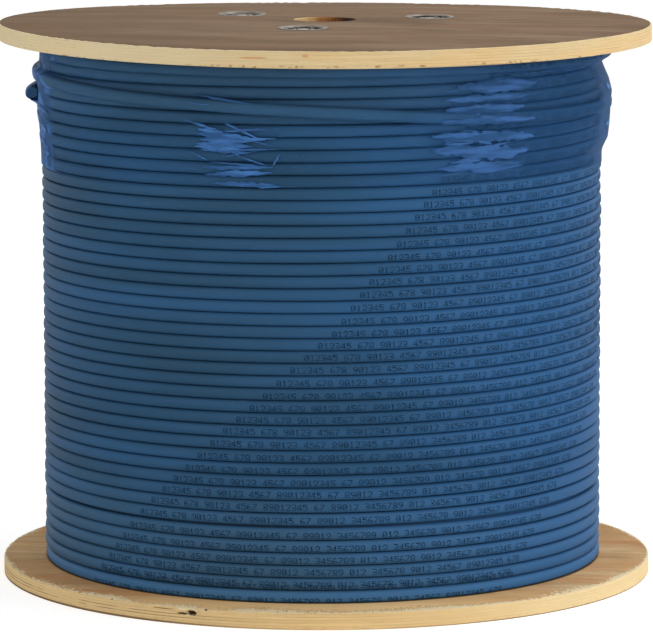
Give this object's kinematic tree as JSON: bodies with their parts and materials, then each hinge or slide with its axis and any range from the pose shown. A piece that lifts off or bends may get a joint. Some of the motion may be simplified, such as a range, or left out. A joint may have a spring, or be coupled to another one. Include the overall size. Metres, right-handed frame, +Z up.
{
  "type": "cable reel",
  "caption": "Plywood cable reel standing on a flange: round flanges clamped on a hollow core by tie rods, wound full of blue round cable, its top turns held under clear film.",
  "frame": {"origin": "middle of the lower flange's underside, on the reel's axis", "axes": "+Z up along the reel's axis, +X to the right and -Y towards the front"},
  "size_m": [0.38, 0.38, 0.32],
  "materials": {
    "plywood": "bare plywood with light sawn edges",
    "core_board": "spiral wound brown board",
    "zinc_steel": "pressed steel, zinc plated",
    "cable_jacket": "blue jacket with a soft sheen",
    "clear_film": "clear stretch film",
    "cable_print": "dark ink"
  },
  "bodies": {
    "root": {"flange_lower": "plywood", "flange_upper": "plywood", "core_tube": "core_board", "tie_rod_1": "zinc_steel", "tie_rod_2": "zinc_steel", "tie_rod_3": "zinc_steel", "dished_washer_lower_1": "zinc_steel", "dished_washer_lower_2": "zinc_steel", "dished_washer_lower_3": "zinc_steel", "dished_washer_upper_1": "zinc_steel", "dished_washer_upper_2": "zinc_steel", "dished_washer_upper_3": "zinc_steel", "nut_lower_1": "zinc_steel", "nut_lower_2": "zinc_steel", "nut_lower_3": "zinc_steel", "nut_upper_1": "zinc_steel", "nut_upper_2": "zinc_steel", "nut_upper_3": "zinc_steel", "cable_inner_layers": "cable_jacket", "cable_turns_lower": "cable_jacket", "cable_turns_upper": "cable_jacket", "stretch_film_band": "clear_film"}
  },
  "joints": []
}
